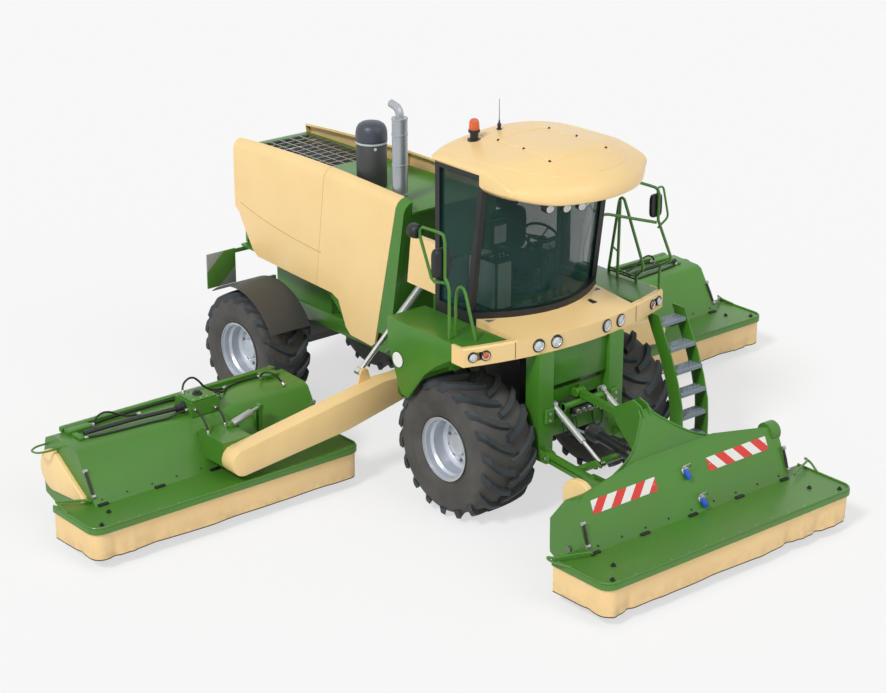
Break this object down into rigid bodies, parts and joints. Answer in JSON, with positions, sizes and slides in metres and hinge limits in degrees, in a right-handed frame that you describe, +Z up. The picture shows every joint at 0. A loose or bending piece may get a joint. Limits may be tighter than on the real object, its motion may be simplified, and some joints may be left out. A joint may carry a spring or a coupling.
{
  "type": "self-propelled triple mower",
  "caption": "Self-propelled agricultural mower with a forward cab, a long engine hood, steered rear wheels, a lifted front mower and folding side mowers on booms.",
  "frame": {"origin": "on the ground under the middle of the overall box", "axes": "+Z up, +X to the driver's left across the working width, -Y the driving direction"},
  "size_m": [9.774, 7.77, 4.25],
  "materials": {
    "green_paint": "satin paint",
    "cream_panels": "gloss",
    "front_axle": "painted dark",
    "engine": "painted",
    "screen": "satin",
    "dark_plastic": "matte",
    "exhaust": "heat dulled",
    "cab_black": "satin",
    "cab_glass": "tinted",
    "seat": "woven",
    "controls": "matte",
    "lamps": "clear",
    "beacon": "translucent",
    "boards": "reflective",
    "tyres": "matte",
    "rims": "silver",
    "rams": "satin",
    "rods": "polished",
    "curtains": "coated cloth",
    "knives": "worn"
  },
  "bodies": {
    "chassis": {"main_frame": "green_paint", "front_axle": "front_axle", "rear_axle": "green_paint", "engine_block": "engine", "hood_sides": "cream_panels", "hood_top": "green_paint", "hood_screen": "screen", "hood_base": "green_paint", "precleaner": "dark_plastic", "exhaust": "exhaust", "cab_base": "cab_black", "cab_frame": "cab_black", "cab_roof": "cream_panels", "cab_glass": "cab_glass", "seat": "seat", "controls": "controls", "fascia": "cream_panels", "platforms": "green_paint", "lamps": "lamps", "beacon": "beacon", "ladder": "green_paint", "handrails": "green_paint", "mirror_heads": "dark_plastic", "rear_boards": "boards"},
    "door": {"door_frame": "cab_black", "door_glass": "cab_glass"},
    "front_links": {"front_links": "green_paint"},
    "front_top_link": {"front_top_link": "green_paint"},
    "front_lift_bodies": {"front_barrels": "rams"},
    "front_lift_rods": {"front_rods": "rods"},
    "front_mower": {"front_deck": "green_paint", "front_curtain": "curtains", "front_cutter_bar": "knives"},
    "front_rotor": {"front_rotor": "knives"},
    "front_wheel_left": {"front_tyre_left": "tyres", "front_rim_left": "rims"},
    "knuckle_left": {"knuckle_left": "green_paint", "fender_left": "dark_plastic"},
    "rear_wheel_left": {"rear_tyre_left": "tyres", "rear_rim_left": "rims"},
    "boom_left": {"boom_left": "cream_panels", "side_deck_left": "green_paint", "side_curtain_left": "curtains", "side_cutter_bar_left": "knives"},
    "side_rotor_left": {"side_rotor_left": "knives"},
    "ram_left": {"barrel_left": "rams"},
    "ram_rod_left": {"rod_left": "rods"},
    "front_wheel_right": {"front_tyre_right": "tyres", "front_rim_right": "rims"},
    "knuckle_right": {"knuckle_right": "green_paint", "fender_right": "dark_plastic"},
    "rear_wheel_right": {"rear_tyre_right": "tyres", "rear_rim_right": "rims"},
    "boom_right": {"boom_right": "cream_panels", "side_deck_right": "green_paint", "side_curtain_right": "curtains", "side_cutter_bar_right": "knives"},
    "side_rotor_right": {"side_rotor_right": "knives"},
    "ram_right": {"barrel_right": "rams"},
    "ram_rod_right": {"rod_right": "rods"}
  },
  "joints": [
    {"name": "door_hinge", "type": "hinge", "parent": "chassis", "child": "door", "pos_m": [0.926, -0.295, 2.9], "axis": [0, 0, 1], "range_deg": [0, 75]},
    {"name": "front_lift", "type": "hinge", "parent": "chassis", "child": "front_links", "pos_m": [0, -1.685, 0.74], "axis": [-1, 0, 0], "range_deg": [0, 30]},
    {"name": "front_top_turn", "type": "hinge", "parent": "chassis", "child": "front_top_link", "pos_m": [0, -1.545, 1.3], "axis": [-1, 0, 0], "range_deg": [0, 30]},
    {"name": "front_mower_level", "type": "hinge", "parent": "front_links", "child": "front_mower", "pos_m": [0, -2.325, 0.69], "axis": [-1, 0, 0], "range_deg": [-30, 0]},
    {"name": "front_ram_turn", "type": "hinge", "parent": "chassis", "child": "front_lift_bodies", "pos_m": [0, -1.535, 1.23], "axis": [-1, 0, 0], "range_deg": [0, 17.73]},
    {"name": "front_ram_slide", "type": "slide", "parent": "front_lift_bodies", "child": "front_lift_rods", "axis": [0, -0.8725, -0.4886], "range_m": [-0.21192, 0]},
    {"name": "front_rotor_spin", "type": "hinge", "parent": "front_mower", "child": "front_rotor", "pos_m": [0, -2.9962, 0.455], "axis": [1, 0, 0], "continuous": true},
    {"name": "front_wheel_left_spin", "type": "hinge", "parent": "chassis", "child": "front_wheel_left", "pos_m": [0.99, -0.885, 0.775], "axis": [1, 0, 0], "continuous": true},
    {"name": "steer_left", "type": "hinge", "parent": "chassis", "child": "knuckle_left", "pos_m": [0.62, 2.965, 0.71], "axis": [0, 0, 1], "range_deg": [-30, 30]},
    {"name": "rear_wheel_left_spin", "type": "hinge", "parent": "knuckle_left", "child": "rear_wheel_left", "pos_m": [0.97, 2.965, 0.71], "axis": [1, 0, 0], "continuous": true},
    {"name": "boom_fold_left", "type": "hinge", "parent": "chassis", "child": "boom_left", "pos_m": [0.86, 0.412, 1], "axis": [0, -1, 0], "range_deg": [0, 85]},
    {"name": "ram_turn_left", "type": "hinge", "parent": "chassis", "child": "ram_left", "pos_m": [0.24, 0.582, 2.15], "axis": [0, -1, 0], "range_deg": [-14.95, 0]},
    {"name": "ram_slide_left", "type": "slide", "parent": "ram_left", "child": "ram_rod_left", "axis": [0.7383, 0, -0.6744], "range_m": [-0.56051, 0]},
    {"name": "side_rotor_spin_left", "type": "hinge", "parent": "boom_left", "child": "side_rotor_left", "pos_m": [3, 1.2598, 0.455], "axis": [1, 0, 0], "continuous": true},
    {"name": "front_wheel_right_spin", "type": "hinge", "parent": "chassis", "child": "front_wheel_right", "pos_m": [-0.99, -0.885, 0.775], "axis": [1, 0, 0], "continuous": true},
    {"name": "steer_right", "type": "hinge", "parent": "chassis", "child": "knuckle_right", "pos_m": [-0.62, 2.965, 0.71], "axis": [0, 0, 1], "range_deg": [-30, 30]},
    {"name": "rear_wheel_right_spin", "type": "hinge", "parent": "knuckle_right", "child": "rear_wheel_right", "pos_m": [-0.97, 2.965, 0.71], "axis": [1, 0, 0], "continuous": true},
    {"name": "boom_fold_right", "type": "hinge", "parent": "chassis", "child": "boom_right", "pos_m": [-0.86, 0.412, 1], "axis": [0, 1, 0], "range_deg": [0, 85]},
    {"name": "ram_turn_right", "type": "hinge", "parent": "chassis", "child": "ram_right", "pos_m": [-0.24, 0.582, 2.15], "axis": [0, 1, 0], "range_deg": [-14.95, 0]},
    {"name": "ram_slide_right", "type": "slide", "parent": "ram_right", "child": "ram_rod_right", "axis": [-0.7383, 0, -0.6744], "range_m": [-0.56051, 0]},
    {"name": "side_rotor_spin_right", "type": "hinge", "parent": "boom_right", "child": "side_rotor_right", "pos_m": [-3, 1.2598, 0.455], "axis": [1, 0, 0], "continuous": true}
  ],
  "couplings": [
    {"joint": "front_top_turn", "follows": "front_lift", "ratio": 1},
    {"joint": "front_mower_level", "follows": "front_lift", "ratio": -1},
    {"joint": "front_ram_turn", "follows": "front_lift", "ratio": 0.59086},
    {"joint": "front_ram_slide", "follows": "front_lift", "m_per_rad": -0.40474},
    {"joint": "ram_turn_left", "follows": "boom_fold_left", "ratio": -0.17592},
    {"joint": "ram_slide_left", "follows": "boom_fold_left", "m_per_rad": -0.37782},
    {"joint": "ram_turn_right", "follows": "boom_fold_right", "ratio": -0.17592},
    {"joint": "ram_slide_right", "follows": "boom_fold_right", "m_per_rad": -0.37782},
    {"joint": "steer_right", "follows": "steer_left", "ratio": 1}
  ]
}
